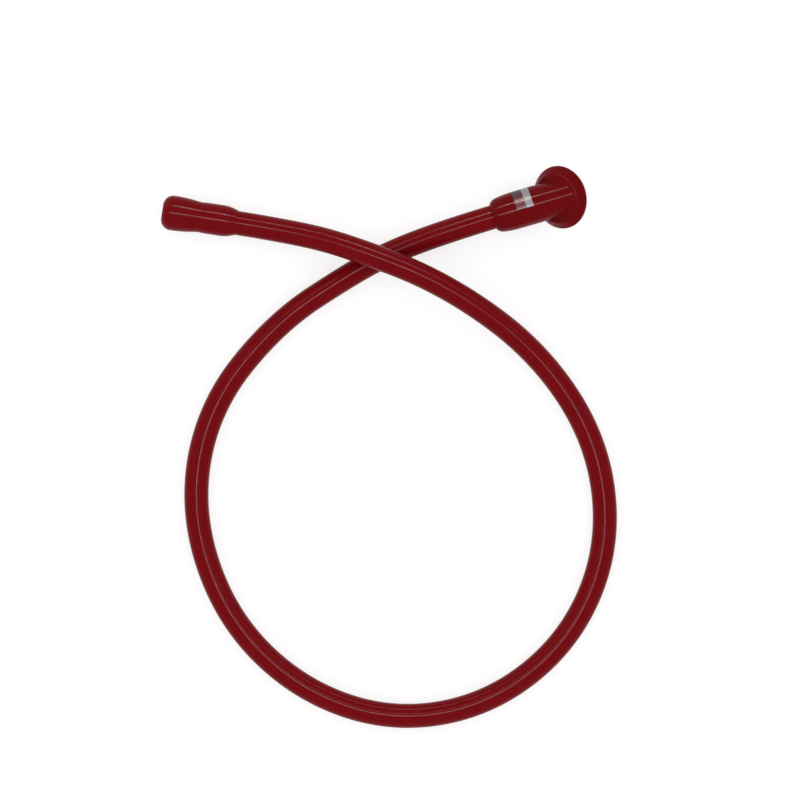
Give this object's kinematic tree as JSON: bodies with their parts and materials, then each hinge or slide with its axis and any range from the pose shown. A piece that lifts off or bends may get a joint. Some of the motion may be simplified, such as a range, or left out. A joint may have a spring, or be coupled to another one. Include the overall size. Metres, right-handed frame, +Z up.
{
  "type": "siphon bulb pump",
  "caption": "Hand siphon pump: a barrel-shaped squeeze bulb ending in a slanted round strainer foot, joined by a smooth flexible hose to a soft moulded outlet cuff.",
  "frame": {"origin": "on the surface that the pump lies on, under the middle of the box round its two end fittings, the bulb with its foot and the outlet cuff", "axes": "+X along the bulb's barrel from its hose end to the foot, +Z up from the surface; the hose's loop lies towards -Y"},
  "size_m": [0.4912, 0.6003, 0.0535],
  "materials": {
    "red_vinyl": "glossy moulded soft vinyl",
    "red_hose": "glossy smooth soft vinyl hose",
    "label_film": "satin film",
    "valve_plastic": "moulded, satin",
    "strainer_plastic": "moulded, satin",
    "black_rubber": "matte",
    "steel": "polished stainless",
    "brass": "drawn"
  },
  "bodies": {
    "pump": {"bulb_body": "red_vinyl", "cuff": "red_vinyl", "hose": "red_hose", "label": "label_film", "inlet_seat": "valve_plastic", "inlet_cage": "valve_plastic", "inlet_seal": "black_rubber", "outlet_seat": "valve_plastic", "outlet_cage": "valve_plastic", "outlet_seal": "black_rubber", "strainer_plate": "strainer_plastic", "strainer_screws": "steel", "head_tail": "valve_plastic", "head_gasket": "black_rubber", "head_ferrule": "brass", "cuff_tail": "valve_plastic", "cuff_gasket": "black_rubber", "cuff_ferrule": "brass"},
    "inlet_ball_body": {"inlet_ball": "steel"},
    "outlet_ball_body": {"outlet_ball": "steel"}
  },
  "joints": [
    {"name": "inlet_ball_lift", "type": "slide", "parent": "pump", "child": "inlet_ball_body", "axis": [-0.6018, 0, 0.7986], "range_m": [0, 0.0035]},
    {"name": "outlet_ball_lift", "type": "slide", "parent": "pump", "child": "outlet_ball_body", "axis": [-1, 0, 0], "range_m": [0, 0.0035]}
  ]
}
